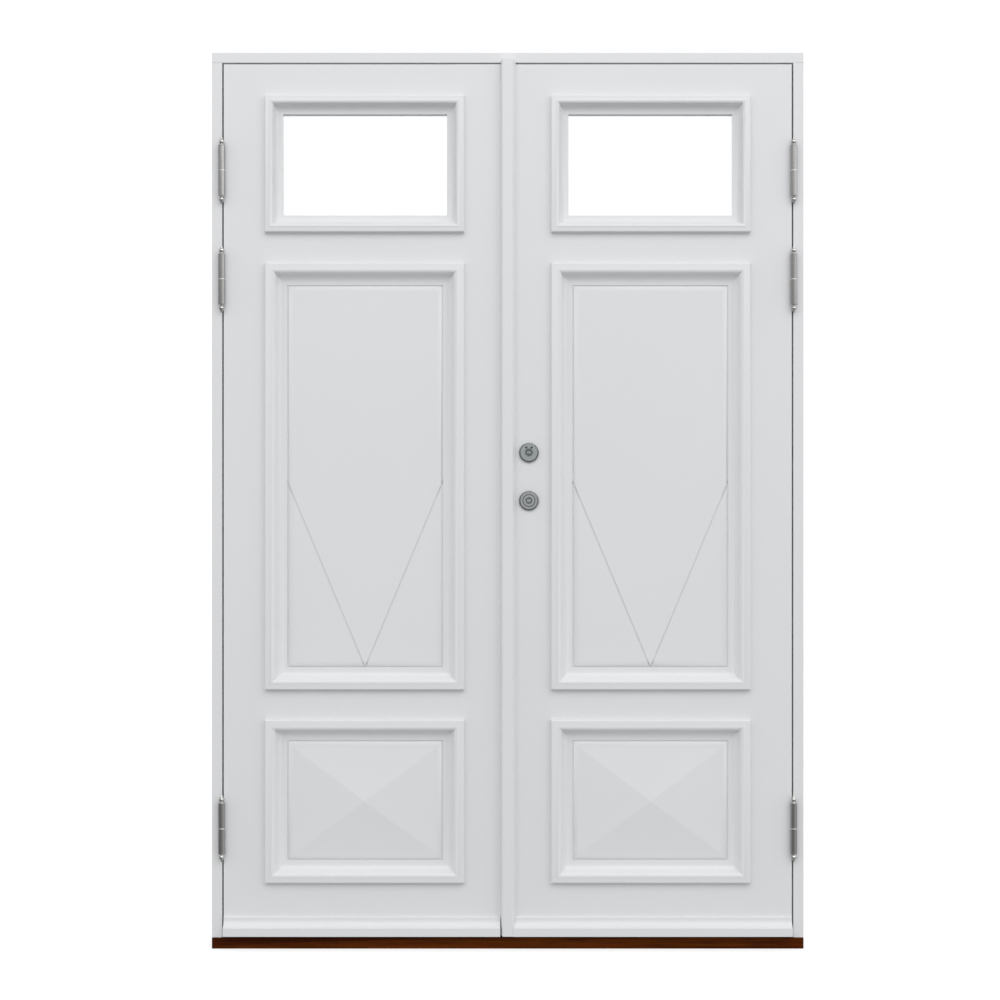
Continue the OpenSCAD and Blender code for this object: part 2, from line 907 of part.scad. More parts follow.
// stepped round covers on the outside, two small holes in the upper one and a ring cut in the lower one
module lock_discs() {
    color(silver) difference() {
        for (z = lock_z) {
            translate([lock_x, yf - disc_t + disc_step, z]) rotate([-90, 0, 0])
                cylinder(d = disc_d, h = disc_t - disc_step);
            translate([lock_x, yf - disc_t, z]) rotate([-90, 0, 0])
                cylinder(d = disc_d - 2 * disc_rim, h = disc_t);
        }
        for (z = lock_z) {
            translate([lock_x, yf - disc_t + disc_face, z]) rotate([-90, 0, 0])
                cylinder(r = body_r + fit, h = disc_t);
            translate([lock_x, yf - disc_t - 1, z]) rotate([-90, 0, 0])
                cylinder(r = core_r + 0.4, h = disc_t);
        }
        for (s = [-1, 1]) {
            translate([lock_x + s * 6.2, yf - disc_t - 1, lock_z[1] + core_r + 2.2]) rotate([-90, 0, 0])
                cylinder(r = 2.4, h = disc_face);
        }
        translate([lock_x, yf - disc_t - 1, lock_z[0]]) rotate([-90, 0, 0])
            ring_cut(mark_r, mark_r + mark_w, mark_d + 1);
    }
}

// cylinder bodies through the leaf, each with a flange on the inside
module lock_bodies() {
    color(silver) difference() {
        for (z = lock_z) {
            translate([lock_x, yf - disc_t + disc_face + fit, z]) rotate([-90, 0, 0])
                cylinder(r = body_r, h = leaf_t + disc_t - disc_face + fit);
            translate([lock_x, yb, z]) rotate([-90, 0, 0]) cylinder(d = disc_d, h = flange_t);
        }
        for (z = lock_z) {
            translate([lock_x, yf - 20, z]) rotate([-90, 0, 0]) cylinder(r = core_r + run, h = leaf_t + 60);
        }
    }
}

// a ring between two radii
module ring_cut(r0, r1, h) {
    difference() {
        cylinder(r = r1, h = h);
        translate([0, 0, -1]) cylinder(r = r0, h = h + 2);
    }
}

// turning core with a plug and keyway outside and a thumb turn inside
module core(z) {
    translate([lock_x, 0, z]) difference() {
        union() {
            translate([0, yf - disc_t - 0.5, 0]) rotate([-90, 0, 0])
                cylinder(r = core_r, h = leaf_t + disc_t + flange_t + 3);
            translate([0, yb + flange_t, 0]) rotate([-90, 0, 0]) cylinder(r = core_r + 3, h = knob_t);
            box([-turn_t / 2, yb + flange_t + 3, -turn_h / 2], [turn_t / 2, yb + turn_out, turn_h / 2]);
        }
        translate([0, yf - disc_t - 1.5, 0]) rotate([-90, 0, 0])
            ring_cut(core_r - plug_edge - plug_room, core_r - plug_edge, plug_d + 1);
        box([-keyway_w / 2, yf - disc_t - 2, -keyway_h / 2], [keyway_w / 2, yf + 6, keyway_h / 2]);
    }
}

module upper_core() {
    color(silver) core(lock_z[1]);
}

module lower_core() {
    color(silver) core(lock_z[0]);
}

threshold();
left_jamb();
right_jamb();
head();
frame_seals();
left_frame_hinges();
right_frame_hinges();
hinge_pins();
hinge_rings();
frame_hinge_screws();
bolt_keepers();
left_hinge_stile();
left_meeting_stile();
left_top_rail();
left_window_rail();
left_lower_rail();
left_bottom_rail();
left_middle_panel();
left_bottom_panel();
left_window_moulding();
left_middle_moulding();
left_bottom_moulding();
left_inner_beads();
left_panes();
left_spacer();
left_weather_bar();
left_leaf_hinges();
left_hinge_tips();
left_hinge_screws();
meeting_seal();
strike_plate();
bolt_plates();
top_bolt();
bottom_bolt();
right_hinge_stile();
right_meeting_stile();
right_top_rail();
right_window_rail();
right_lower_rail();
right_bottom_rail();
right_middle_panel();
right_bottom_panel();
right_window_moulding();
right_middle_moulding();
right_bottom_moulding();
right_inner_beads();
right_panes();
right_spacer();
right_weather_bar();
right_leaf_hinges();
right_hinge_tips();
right_hinge_screws();
cover_strip();
lock_case();
latch_bolt();
dead_bolt();
lock_discs();
lock_bodies();
upper_core();
lower_core();
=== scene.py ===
import json
import math

import bmesh
import bpy
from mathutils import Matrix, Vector


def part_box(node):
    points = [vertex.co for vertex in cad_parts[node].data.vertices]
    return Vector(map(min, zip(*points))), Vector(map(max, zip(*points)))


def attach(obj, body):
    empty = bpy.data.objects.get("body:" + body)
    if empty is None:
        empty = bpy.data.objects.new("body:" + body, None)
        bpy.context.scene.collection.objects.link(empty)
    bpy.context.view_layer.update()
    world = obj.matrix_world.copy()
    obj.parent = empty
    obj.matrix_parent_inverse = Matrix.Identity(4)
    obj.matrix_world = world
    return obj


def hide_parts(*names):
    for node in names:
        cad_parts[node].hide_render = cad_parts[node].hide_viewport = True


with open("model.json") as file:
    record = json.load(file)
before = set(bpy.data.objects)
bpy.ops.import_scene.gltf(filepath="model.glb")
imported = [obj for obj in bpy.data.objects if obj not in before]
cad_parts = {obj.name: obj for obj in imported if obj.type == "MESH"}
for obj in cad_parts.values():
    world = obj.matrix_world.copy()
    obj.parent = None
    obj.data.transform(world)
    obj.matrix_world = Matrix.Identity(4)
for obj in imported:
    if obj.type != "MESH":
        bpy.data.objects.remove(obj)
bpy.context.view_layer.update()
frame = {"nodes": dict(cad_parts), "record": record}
mm = 0.001
bodyOf = {}
for bodyName, members in frame["record"]["behaviour"]["bodies"].items():
    for member in members:
        bodyOf[member] = bodyName


# shader sums as plain expressions

class Wire:
    def __init__(self, finish, socket):
        self.finish = finish
        self.socket = socket

    def __add__(self, other):
        return self.finish.maths("ADD", self, other)

    def __radd__(self, other):
        return self.finish.maths("ADD", other, self)

    def __sub__(self, other):
        return self.finish.maths("SUBTRACT", self, other)

    def __rsub__(self, other):
        return self.finish.maths("SUBTRACT", other, self)

    def __mul__(self, other):
        return self.finish.maths("MULTIPLY", self, other)

    def __rmul__(self, other):
        return self.finish.maths("MULTIPLY", other, self)

    def __truediv__(self, other):
        return self.finish.maths("DIVIDE", self, other)

    def __rtruediv__(self, other):
        return self.finish.maths("DIVIDE", other, self)


class Finish:
    def __init__(self, tree):
        self.tree = tree
        tree.nodes.clear()

    def node(self, kind, settings=None, sockets=None, out=0):
        made = self.tree.nodes.new(kind)
        for key, value in (settings or {}).items():
            if key == "stops":
                while len(made.color_ramp.elements) < len(value):
                    made.color_ramp.elements.new(0.5)
                for element, (place, tone) in zip(made.color_ramp.elements, value):
                    element.position = place
                    element.color = (*tone, 1)
            else:
                setattr(made, key, value)
        for key, value in (sockets or {}).items():
            if isinstance(value, Wire):
                self.tree.links.new(value.socket, made.inputs[key])
            else:
                made.inputs[key].default_value = value
        return Wire(self, made.outputs[out]) if made.outputs else made

    def maths(self, operation, first, second=None):
        sockets = {0: first} if second is None else {0: first, 1: second}
        return self.node("ShaderNodeMath", {"operation": operation}, sockets)

    def clamp(self, value):
        return self.node("ShaderNodeClamp", None, {"Value": value})

    def step(self, value, low, high):
        return self.node("ShaderNodeMapRange", {"interpolation_type": "SMOOTHSTEP"},
                         {"Value": value, "From Min": low, "From Max": high})

    def place(self, scale=(1, 1, 1), offset=(0, 0, 0)):
        points = self.node("ShaderNodeTexCoord", None, None, "Object")
        return self.node("ShaderNodeMapping", None,
                         {"Vector": points, "Location": offset, "Scale": scale})

    def split(self, vector):
        parts = self.node("ShaderNodeSeparateXYZ", None, {"Vector": vector})
        return [Wire(self, s) for s in parts.socket.node.outputs]

    def noise(self, vector, scale, detail=2.0, rough=0.5, twist=0.0):
        return self.node("ShaderNodeTexNoise", None,
                         {"Vector": vector, "Scale": scale, "Detail": detail,
                          "Roughness": rough, "Distortion": twist})

    def blend(self, factor, first, second):
        return self.node("ShaderNodeMix", {"data_type": "RGBA"},
                         {0: factor, 6: first, 7: second}, 2)

    def bump(self, height, strength, distance):
        return self.node("ShaderNodeBump", None,
                         {"Height": height, "Strength": strength, "Distance": distance})

    def shade(self, sockets):
        surface = self.node("ShaderNodeBsdfPrincipled", None, sockets)
        self.node("ShaderNodeOutputMaterial", None, {"Surface": surface})


def newFinish(name):
    material = bpy.data.materials.new(name)
    material.use_nodes = True
    return material, Finish(material.node_tree)


# satin white paint: faint grain shows through, with a fine rolled skin on top
paintTone = dict(light=(0.815, 0.82, 0.83, 1), dull=(0.785, 0.79, 0.80, 1), rough=0.38)


def whitePaint(name, grain, seed):
    material, f = newFinish(name)
    broad = f.noise(f.place((1, 1, 1), (seed, 0, seed)), 2.3, 3, 0.55)
    fibre = f.noise(f.place(grain, (0, seed, 0)), 1.0, 4, 0.6, 0.3)
    skin = f.noise(f.place(), 620, 2, 0.5)
    tone = f.clamp(broad * 0.8 + fibre * 0.35 - 0.1)
    f.shade({
        "Base Color": f.blend(tone, paintTone["dull"], paintTone["light"]),
        "Roughness": f.clamp(paintTone["rough"] + (broad - 0.5) * 0.16 + (skin - 0.5) * 0.10),
        "IOR": 1.47,
        "Normal": f.bump(fibre * 0.6 + skin * 0.4, 0.22, 0.0004),
    })
    return material


uprightPaint = whitePaint("paint_upright", (150, 150, 5), 1.3)
levelPaint = whitePaint("paint_level", (5, 150, 150), 4.1)
mouldPaint = whitePaint("paint_mouldings", (60, 60, 60), 7.7)


# oiled hardwood, its grain along the threshold
def hardwood(name):
    material, f = newFinish(name)
    fibre = f.noise(f.place((2.2, 60, 60)), 1.0, 6, 0.65, 0.6)
    bands = f.noise(f.place((0.9, 22, 22), (3, 1, 0)), 1.0, 3, 0.5, 1.2)
    pores = f.step(f.noise(f.place((16, 700, 700)), 1.0, 2, 0.6), 0.56, 0.68)
    tone = f.clamp(fibre * 0.7 + bands * 0.6 - 0.12)
    shades = [(0.15, (0.012, 0.0020, 0.0004)), (0.5, (0.066, 0.0115, 0.0010)), (0.85, (0.19, 0.047, 0.004))]
    colour = f.node("ShaderNodeValToRGB", {"stops": shades}, {"Fac": tone})
    f.shade({
        "Base Color": f.blend(pores * 0.7, colour, (0.012, 0.004, 0.002, 1)),
        "Roughness": f.clamp(0.42 + pores * 0.25 - (tone - 0.5) * 0.15),
        "Specular IOR Level": 0.05,
        "Coat Weight": 0.01,
        "Coat Roughness": 0.25,
        "Normal": f.bump(fibre * 0.5 - pores, 0.35, 0.0004),
    })
    return material


thresholdWood = hardwood("hardwood_threshold")


# plated steel, a little clouded, with specks and hairline turning marks
def platedSteel(name, tone, rough, marks):
    material, f = newFinish(name)
    cloud = f.noise(f.place(), 35, 3, 0.6)
    lines = f.noise(f.place(marks), 1.0, 2, 0.6)
    specks = f.step(f.noise(f.place((1, 1, 1), (5, 5, 5)), 300, 2, 0.6), 0.70, 0.78)
    darker = tuple(c * 0.72 for c in tone) + (1,)
    f.shade({
        "Base Color": f.blend(f.clamp(cloud * 0.7 + specks * 0.6 - 0.15), (*tone, 1), darker),
        "Metallic": 1.0,
        "Roughness": f.clamp(rough + (cloud - 0.5) * 0.14 + (lines - 0.5) * 0.10 + specks * 0.2),
        "Normal": f.bump(lines, 0.03, 0.0001),
    })
    return material


hingePlating = platedSteel("plated_hinge", (0.435, 0.428, 0.418), 0.20, (40, 40, 160))
ringPlating = platedSteel("plated_ring", (0.90, 0.895, 0.88), 0.16, (60, 60, 400))
tipPlating = platedSteel("plated_tip", (0.55, 0.545, 0.53), 0.24, (40, 40, 200))
fittingSteel = platedSteel("plated_fitting", (0.62, 0.62, 0.61), 0.32, (900, 900, 30))


# satin lock steel, brushed in rings round each lock's own axis, with painted shade at its turned steps:
# darker in the recess round the core, in the grooves and at the rim, given as radius in mm and darkness
ringReach = 23


def brushedRings(name, tone, rough, axisX, axisZ, steps):
    material, f = newFinish(name)
    x, y, z = f.split(f.place((1, 1, 1), (-axisX, 0, -axisZ)))
    radius = f.maths("SQRT", x * x + z * z)
    angle = f.maths("ARCTAN2", z, x)
    spot = f.node("ShaderNodeCombineXYZ", None, {0: radius * 2400, 1: angle * 1.6, 2: y * 900})
    rings = f.noise(spot, 1.0, 3, 0.6)
    cloud = f.noise(f.place(), 90, 3, 0.6)
    stops = [(r / ringReach, (v, v, v)) for r, v in steps]
    # painted shade: darkness set by the radius from the lock's axis, towards the near-black shade tone
    paintedShade = f.node("ShaderNodeValToRGB", {"stops": stops}, {"Fac": radius / (ringReach * mm)})
    shadeTone = tuple(c * 0.16 for c in tone) + (1,)
    f.shade({
        "Base Color": f.blend(f.clamp(paintedShade + rings * 0.22 + cloud * 0.2 - 0.16), (*tone, 1), shadeTone),
        "Metallic": 1.0,
        "Roughness": f.clamp(rough + (rings - 0.5) * 0.22 + (cloud - 0.5) * 0.12),
        "Normal": f.bump(rings, 0.25, 0.00008),
    })
    return material


def clearGlass(name):
    material, f = newFinish(name)
    smear = f.noise(f.place((1, 1, 1), (2, 0, 1)), 7, 4, 0.55)
    f.shade({
        "Base Color": (0.985, 0.995, 0.99, 1),
        "Roughness": f.clamp((smear - 0.62) * 0.05),
        "IOR": 1.45,
        "Transmission Weight": 1.0,
    })
    return material


def sealRubber(name):
    material, f = newFinish(name)
    grit = f.noise(f.place(), 1400, 3, 0.6)
    cloud = f.noise(f.place(), 30, 2, 0.5)
    f.shade({
        "Base Color": f.blend(f.clamp(cloud * 0.6 + grit * 0.4),
                              (0.84, 0.845, 0.85, 1), (0.90, 0.905, 0.91, 1)),
        "Roughness": f.clamp(0.72 + (grit - 0.5) * 0.2),
        "Normal": f.bump(grit, 0.3, 0.0002),
    })
    return material


# spacer bar with its row of fine breather holes along the middle, each hole painted near black as painted
# shade
breather = dict(pitch=0.004, middle=-0.0315)


def spacerMetal(name):
    material, f = newFinish(name)
    x, y, z = f.split(f.place())
    rowX = f.maths("ABSOLUTE", f.maths("FRACT", x * (1 / breather["pitch"])) - 0.5)
    rowZ = f.maths("ABSOLUTE", f.maths("FRACT", z * (1 / breather["pitch"])) - 0.5)
    line = f.maths("ABSOLUTE", y - breather["middle"])
    holesAndShade = (1 - f.step(rowX * rowZ, 0.004, 0.012)) * (1 - f.step(line, 0.0006, 0.0012))
    streak = f.noise(f.place((8, 900, 8)), 1.0, 2, 0.6)
    f.shade({
        # painted shade: near black where the holes stand, which also roughen and dent the surface
        "Base Color": f.blend(holesAndShade, (0.74, 0.745, 0.75, 1), (0.05, 0.05, 0.05, 1)),
        "Metallic": 1.0,
        "Roughness": f.clamp(0.34 + (streak - 0.5) * 0.2 + holesAndShade * 0.3),
        "Normal": f.bump(streak - holesAndShade * 2, 0.2, 0.0002),
    })
    return material


paneGlass = clearGlass("clear_glass")
paleRubber = sealRubber("pale_rubber")
spacerBar = spacerMetal("spacer_bar")
print("finishes:", len(bpy.data.materials))


# small modelling helpers

def mergedCopy(node):
    bm = bmesh.new()
    bm.from_mesh(frame["nodes"][node].data)
    bmesh.ops.remove_doubles(bm, verts=bm.verts[:], dist=1e-6)
    bmesh.ops.dissolve_limit(bm, angle_limit=math.radians(0.4), verts=bm.verts[:], edges=bm.edges[:])
    bm.normal_update()
    return bm


def softenEdges(bm, width, pick=None, segments=2, sharp=30):
    chosen = [e for e in bm.edges
              if len(e.link_faces) == 2 and e.is_convex
              and e.calc_face_angle(0) > math.radians(sharp)
              and (pick is None or pick(e))]
    bmesh.ops.bevel(bm, geom=chosen, offset=width * mm, offset_type="OFFSET", affect="EDGES",
                    segments=segments, profile=0.5, material=-1, clamp_overlap=True)


def newVerts(bm, known):
    return [v for v in bm.verts if v not in known]


def onlyVerts(geometry):
    return [g for g in geometry if isinstance(g, bmesh.types.BMVert)]


# from upright at the origin to its place
def leanAndMove(bm, verts, axis, place):
    lean = Vector((0, 0, 1)).rotation_difference(Vector(axis)).to_matrix()
    bmesh.ops.rotate(bm, cent=(0, 0, 0), matrix=lean, verts=verts)
    bmesh.ops.translate(bm, vec=place, verts=verts)


def turned(bm, outline, foot, axis=(0, 0, 1), steps=40):
    known = set(bm.verts)
    verts = [bm.verts.new((r * mm, 0, h * mm)) for r, h in outline]
    edges = [bm.edges.new(pair) for pair in zip(verts, verts[1:])]
    bmesh.ops.spin(bm, geom=verts + edges, cent=(0, 0, 0), axis=(0, 0, 1),
                   angle=2 * math.pi, steps=steps, use_merge=True)
    bmesh.ops.remove_doubles(bm, verts=newVerts(bm, known), dist=1e-7)
    leanAndMove(bm, newVerts(bm, known), axis, foot)


def extruded(bm, outline, reach):
    face = bm.faces.new([bm.verts.new(p) for p in outline])
    grown = bmesh.ops.extrude_face_region(bm, geom=[face])["geom"]
    bmesh.ops.translate(bm, vec=reach, verts=onlyVerts(grown))


# a closed section spun in four steps to a square frame, then drawn out to the field's shape
def mitredFrame(bm, section, width, height, middle):
    known = set(bm.verts)
    verts = [bm.verts.new((height / 2 - u * mm, -rise * mm, height / 2 - u * mm))
             for rise, u in section]
    edges = [bm.edges.new((verts[i - 1], verts[i])) for i in range(len(verts))]
    bmesh.ops.spin(bm, geom=verts + edges, cent=(0, 0, 0), axis=(0, 1, 0),
                   angle=2 * math.pi, steps=4, use_merge=True)
    made = newVerts(bm, known)
    for way in (-1, 1):
        half = [v for v in made if v.co.x * way > 0]
        bmesh.ops.translate(bm, vec=(way * (width - height) / 2, 0, 0), verts=half)
    bmesh.ops.translate(bm, vec=middle, verts=made)


def finishPiece(name, bm, material, body, stands=(), smooth=35, weighted=True):
    bmesh.ops.recalc_face_normals(bm, faces=bm.faces[:])
    mesh = bpy.data.meshes.new(name)
    bm.to_mesh(mesh)
    bm.free()
    mesh.shade_smooth()
    mesh.set_sharp_from_angle(angle=math.radians(smooth))
    mesh.materials.append(material)
    piece = bpy.data.objects.new(name, mesh)
    bpy.context.scene.collection.objects.link(piece)
    if weighted:
        evened = piece.modifiers.new("evened", "WEIGHTED_NORMAL")
        evened.keep_sharp = True
    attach(piece, body)
    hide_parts(*stands)
    return piece


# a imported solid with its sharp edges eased
def easedPiece(node, material, width, pick=None, segments=2, sharp=30, smooth=35):
    bm = mergedCopy(node)
    softenEdges(bm, width, pick, segments, sharp)
    finishPiece(node + "_eased", bm, material, bodyOf[node], [node], smooth)


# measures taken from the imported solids
jambLow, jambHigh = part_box("right_jamb")
hingeLow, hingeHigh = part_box("right_hinge_stile")
leafFront, leafBack = hingeLow.y, hingeHigh.y
leafFoot, leafTop, leafEdge = hingeLow.z, hingeHigh.z, hingeHigh.x
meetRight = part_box("right_meeting_stile")[0].x
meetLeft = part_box("left_meeting_stile")[1].x


# frame: jambs, head and threshold with eased arrises
frameEase = dict(arris=1.1, threshold=1.6, shortest=0.02)


def longEdge(edge):
    return edge.calc_length() > frameEase["shortest"]


for node in ("left_jamb", "right_jamb"):
    easedPiece(node, uprightPaint, frameEase["arris"], longEdge)
easedPiece("head", levelPaint, frameEase["arris"], longEdge)
easedPiece("threshold", thresholdWood, frameEase["threshold"], longEdge)
print("frame members eased")


# leaves: only the outer arrises are eased, so that stiles and rails meet flush under the paint
leafEase = dict(arris=1.4, segments=3, shortest=0.25, meetBefore=0.004, meetAfter=0.006)
leafPaint = dict(hinge_stile=uprightPaint, meeting_stile=uprightPaint, top_rail=levelPaint,
                 window_rail=levelPaint, lower_rail=levelPaint, bottom_rail=levelPaint)


def near(a, b):
    return abs(a - b) < 2e-5


def onLeafRim(edge):
    a, b = (v.co for v in edge.verts)
    if abs(a.y - b.y) > 1e-5:
        return False
    if near(abs(a.x), leafEdge) and near(abs(b.x), leafEdge):
        return True
    if near(a.z, b.z) and (near(a.z, leafTop) or near(a.z, leafFoot)):
        return True
    inZone = meetLeft - leafEase["meetBefore"] < a.x < meetRight + leafEase["meetAfter"]
    return inZone and near(a.x, b.x) and edge.calc_length() > leafEase["shortest"]


for side in ("left", "right"):
    for member, paint in leafPaint.items():
        easedPiece(f"{side}_{member}", paint, leafEase["arris"], onLeafRim, leafEase["segments"])
print("stiles and rails eased")


# planted mouldings: rounded bead, ledge and cove, spun round each field
moulding = dict(step=7.5, side=10, bead=4.2, beadRun=3.5, crown=15, crownAt=11, crownFrom=(0.2, 2.5),
                ovoloAt=15, ovolo=6.6, ovoloRun=9, ledge=7.5, ledgeEnd=26, ledgeEase=(0.3, 0.4),
                cove=7, coveEnd=46, coveRun=19.5, lip=-7.5, back=-10, lap=18.3, ease=0.6, drawnAt=50)
mouldingWidth = dict(window=41, middle=50, bottom=50)


def arc(start, stop, step):
    count = max(1, round((stop - start) / step))
    return [math.radians(start + (stop - start) * i / count) for i in range(count + 1)]


def mouldingSection(width):
    m = moulding
    points = [(0, 0), (m["side"], 0)]
    points += [(m["side"] + m["bead"] * math.sin(t), m["beadRun"] * (1 - math.cos(t)))
               for t in arc(m["step"], 90, m["step"])]
    below, before = m["crownFrom"]
    points += [(m["crown"] - below, m["crownAt"] - before), (m["crown"], m["crownAt"])]
    points += [(m["side"] + m["ovolo"] * math.cos(t), m["ovoloAt"] + m["ovoloRun"] * math.sin(t))
               for t in arc(0, 90, m["step"])]
    below, before = m["ledgeEase"]
    points += [(m["ledge"], m["ledgeEnd"] - before), (m["ledge"] - below, m["ledgeEnd"])]
    points += [(m["cove"] - (m["cove"] - m["lip"]) * math.sin(t),
                m["coveEnd"] - m["coveRun"] * math.cos(t)) for t in arc(0, 90, m["step"])]
    points = [(rise, u * width / m["drawnAt"]) for rise, u in points]
    lip, r = m["lip"], m["ease"]
    points += [(lip, width - r), (lip - 0.3 * r, width - 0.3 * r), (lip - r, width)]
    points += [(m["back"], width), (m["back"], m["lap"]), (0, m["lap"])]
    return points


for side in ("left", "right"):
    for field, width in mouldingWidth.items():
        node = f"{side}_{field}_moulding"
        low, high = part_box(node)
        bm = bmesh.new()
        middle = ((low.x + high.x) / 2, leafFront, (low.z + high.z) / 2)
        mitredFrame(bm, mouldingSection(width), high.x - low.x, high.z - low.z, middle)
        finishPiece(node + "_run", bm, mouldPaint, bodyOf[node], [node], smooth=25, weighted=False)
print("mouldings planted")


# inner beads with a rounded nose, three frames to a leaf
innerBead = dict(width=17, nose=5, ease=0.7, step=9, lap=18)
beadBehind = dict(window="panes", middle="middle_panel", bottom="bottom_panel")


def beadSection(depth):
    b = innerBead
    points = [(0, 0), (-depth + b["ease"], 0), (-depth, b["ease"])]
    points += [(-depth + b["nose"] * (1 - math.cos(t)), b["width"] - b["nose"] + b["nose"] * math.sin(t))
               for t in arc(0, 90, b["step"])]
    points += [(0, b["width"])]
    return points


beadLap = innerBead["lap"] * mm
for side in ("left", "right"):
    node = f"{side}_inner_beads"
    bm = bmesh.new()
    for field, filling in beadBehind.items():
        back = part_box(f"{side}_{filling}")[1].y
        low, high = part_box(f"{side}_{field}_moulding")
        middle = ((low.x + high.x) / 2, back, (low.z + high.z) / 2)
        mitredFrame(bm, beadSection((leafBack - back) / mm), high.x - low.x - 2 * beadLap,
                    high.z - low.z - 2 * beadLap, middle)
    finishPiece(f"{side}_inner_bead_frames", bm, mouldPaint, bodyOf[node], [node],
                smooth=25, weighted=False)
print("inner beads set")


# panels: rounded field edges, with ridges and groove edges eased as by sanding and paint
panelEase = dict(ridge=1.6, ridgeLength=0.05, ridgeRun=0.01, groove=0.4, grooveAngle=1.0)


def fieldRidge(edge):
    a, b = (v.co for v in edge.verts)
    slanted = min(abs(a.x - b.x), abs(a.z - b.z)) > panelEase["ridgeRun"]
    return slanted and edge.calc_length() > panelEase["ridgeLength"]


def grooveEdge(edge):
    return edge.calc_face_angle(0) > panelEase["grooveAngle"]


for side in ("left", "right"):
    easedPiece(f"{side}_middle_panel", uprightPaint, panelEase["groove"], grooveEdge,
               sharp=40, smooth=30)
    easedPiece(f"{side}_bottom_panel", mouldPaint, panelEase["ridge"], fieldRidge,
               segments=3, sharp=2, smooth=30)
print("panels eased")


# weather bars and the cover strip
barEase = dict(bar=0.9, strip=1.6)
for side in ("left", "right"):
    easedPiece(f"{side}_weather_bar", levelPaint, barEase["bar"], segments=3, sharp=35)
easedPiece("cover_strip", uprightPaint, barEase["strip"], segments=3, smooth=40)
print("bars and strip eased")


# hinges: barrels and plates eased, with turned tips and pins
hingeEase = dict(barrel=0.6, ring=0.7)
for side in ("left", "right"):
    for part in ("frame_hinges", "leaf_hinges"):
        easedPiece(f"{side}_{part}", hingePlating, hingeEase["barrel"], sharp=40)
easedPiece("hinge_rings", ringPlating, hingeEase["ring"], segments=3, sharp=40, smooth=50)

# outlines as radius and height: a collar, a neck, a ball and a spire on top of a peg
tip = dict(collar=[(7.8, 0), (8.4, 0.5), (8.4, 1.4), (7.8, 2.0)], neck=[(5.5, 2.3), (4.4, 3.0), (4.1, 3.9)],
           ball=6.2, ballMiddle=9.6, ballFrom=-47, ballTo=52, step=12,
           spire=[(3.2, 15.0), (2.7, 16.2), (2.2, 17.8), (1.8, 19.2), (1.5, 20.2), (0.9, 20.8), (0, 21.0)])
tipPeg = dict(radius=4.7, depth=12.0, chamfer=0.5)
hingePin = dict(radius=5.0, depth=99.0, chamfer=1.0)


def tipOutline(peg):
    t, r, deep, chamfer = tip, peg["radius"], peg["depth"], peg["chamfer"]
    points = [(0, -deep), (r - chamfer, -deep), (r, chamfer - deep), (r, 0)] + t["collar"] + t["neck"]
    points += [(t["ball"] * math.cos(a), t["ballMiddle"] + t["ball"] * math.sin(a))
               for a in arc(t["ballFrom"], t["ballTo"], t["step"])]
    return points + t["spire"]


# middles of the hinge barrels above the floor and half a barrel's length, in metres
hingeHeights = dict(low=0.282, second=1.560, top=1.813)
barrelHalf = 0.0575
hingeAxis = {}
for side in ("left", "right"):
    node = f"{side}_hinge_tips"
    low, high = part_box(node)
    hingeAxis[side] = ((low.x + high.x) / 2, (low.y + high.y) / 2)
    bm = bmesh.new()
    for height in hingeHeights.values():
        turned(bm, tipOutline(tipPeg), (*hingeAxis[side], height + barrelHalf))
    finishPiece(node + "_turned", bm, tipPlating, bodyOf[node], [node], smooth=40, weighted=False)
bm = bmesh.new()
for side in ("left", "right"):
    for height in hingeHeights.values():
        turned(bm, tipOutline(hingePin), (*hingeAxis[side], height - barrelHalf), (0, 0, -1))
finishPiece("hinge_pins_turned", bm, tipPlating, "frame", ["hinge_pins"],
            smooth=40, weighted=False)
print("hinges eased and turned")


# plate screws with a cross in a countersunk head
plateScrew = dict(head=4.0, face=3.75, brim=0.3, headDepth=2.0, shank=2.3, length=19, point=0.3, pointRun=2,
                  arm=2.3, slot=0.55, deep=1.1, taper=0.8, sides=24)


def crossScrew(bm, spot, away):
    s = plateScrew
    known = set(bm.verts)
    ring = bmesh.ops.create_circle(bm, segments=s["sides"], radius=s["face"] * mm)["verts"]
    a, w = s["arm"] * mm, s["slot"] * mm
    corners = [(a, -w), (a, w), (w, w), (w, a), (-w, a), (-w, w),
               (-a, w), (-a, -w), (-w, -w), (-w, -a), (w, -a), (w, -w)]
    cross = [bm.verts.new((x, y, 0)) for x, y in corners]
    crossEdges = [bm.edges.new((cross[i - 1], cross[i])) for i in range(len(cross))]
    ringEdges = list(dict.fromkeys(e for v in ring for e in v.link_edges))
    bmesh.ops.bridge_loops(bm, edges=ringEdges + crossEdges)
    floor = bm.faces.new(cross)
    sunk = onlyVerts(bmesh.ops.extrude_face_region(bm, geom=[floor])["geom"])
    bmesh.ops.translate(bm, vec=(0, 0, -s["deep"] * mm), verts=sunk)
    bmesh.ops.scale(bm, vec=(s["taper"], s["taper"], 1), verts=sunk)
    if floor.is_valid:
        bm.faces.remove(floor)
    rim = [e for e in ringEdges if e.is_valid]
    flank = ((s["head"], s["brim"]), (s["shank"], s["headDepth"]),
             (s["shank"], s["length"] - s["pointRun"]), (s["point"], s["length"]))
    for radius, depth in flank:
        grown = bmesh.ops.extrude_edge_only(bm, edges=rim)["geom"]
        fresh = onlyVerts(grown)
        rim = [g for g in grown if isinstance(g, bmesh.types.BMEdge) and all(v in fresh for v in g.verts)]
        for v in fresh:
            v.co = Vector((v.co.x, v.co.y, 0)).normalized() * radius * mm + Vector((0, 0, -depth * mm))
    bmesh.ops.contextual_create(bm, geom=rim)
    leanAndMove(bm, newVerts(bm, known), away, spot)


# screws stand in the middle of each plate, three to a plate
hingePlate = dict(screwSteps=(-0.0396, 0, 0.0396), behindFace=0.0204, jambSide=0.024)


def screwSet(name, node, faces, body):
    bm = bmesh.new()
    for x, y, away in faces:
        for height in hingeHeights.values():
            for stepUp in hingePlate["screwSteps"]:
                crossScrew(bm, (x, y, height + stepUp), (away, 0, 0))
    finishPiece(name, bm, fittingSteel, body, [node], smooth=30, weighted=False)


